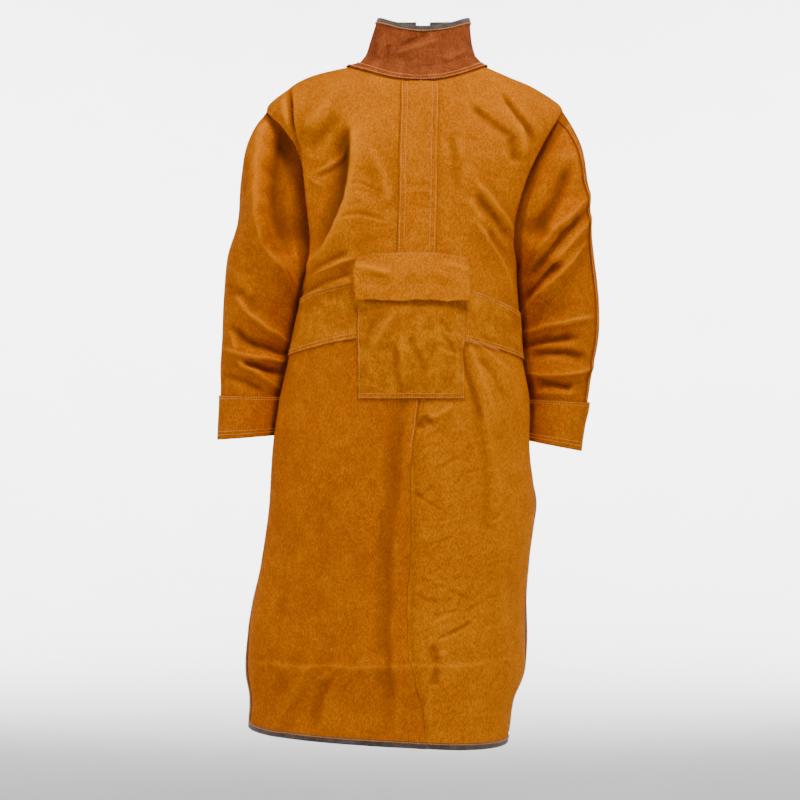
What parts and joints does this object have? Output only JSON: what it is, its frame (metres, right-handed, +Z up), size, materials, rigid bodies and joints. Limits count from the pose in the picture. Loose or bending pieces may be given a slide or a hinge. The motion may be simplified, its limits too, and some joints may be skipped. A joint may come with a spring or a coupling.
{
  "type": "sleeved leather welding apron",
  "caption": "Open-backed welding apron of golden suede leather with a stand collar, long cuffed sleeves, a flapped chest pocket, a waistband and a long seamed skirt, grey bound edges",
  "frame": {"origin": "middle of the neck opening, level with the top of the shoulders, where the worn apron hangs from", "axes": "+X to the right as seen from the front, +Y to the back, +Z up"},
  "size_m": [0.6631, 0.2853, 1.2486],
  "materials": {
    "suede": "napped split cowhide, golden orange, matt and mottled",
    "collar_suede": "napped split cowhide, a redder brown dye lot, matt",
    "binding_tape": "grey woven binding tape, matt"
  },
  "bodies": {
    "root": {"collar": "collar_suede", "collar_binding": "binding_tape", "collar_tab": "collar_suede", "front_panel_left": "suede", "front_panel_right": "suede", "front_placket": "suede", "back_panel_left": "suede", "back_panel_right": "suede", "back_binding_left": "binding_tape", "back_binding_right": "binding_tape", "sleeve_front_left": "suede", "sleeve_back_left": "suede", "sleeve_front_right": "suede", "sleeve_back_right": "suede", "cuff_left": "suede", "cuff_right": "suede", "waistband": "suede", "pocket": "suede", "pocket_flap": "suede", "skirt_left": "suede", "skirt_right": "suede", "side_binding_left": "binding_tape", "side_binding_right": "binding_tape", "hem_binding": "binding_tape", "back_strap": "suede"}
  },
  "joints": []
}
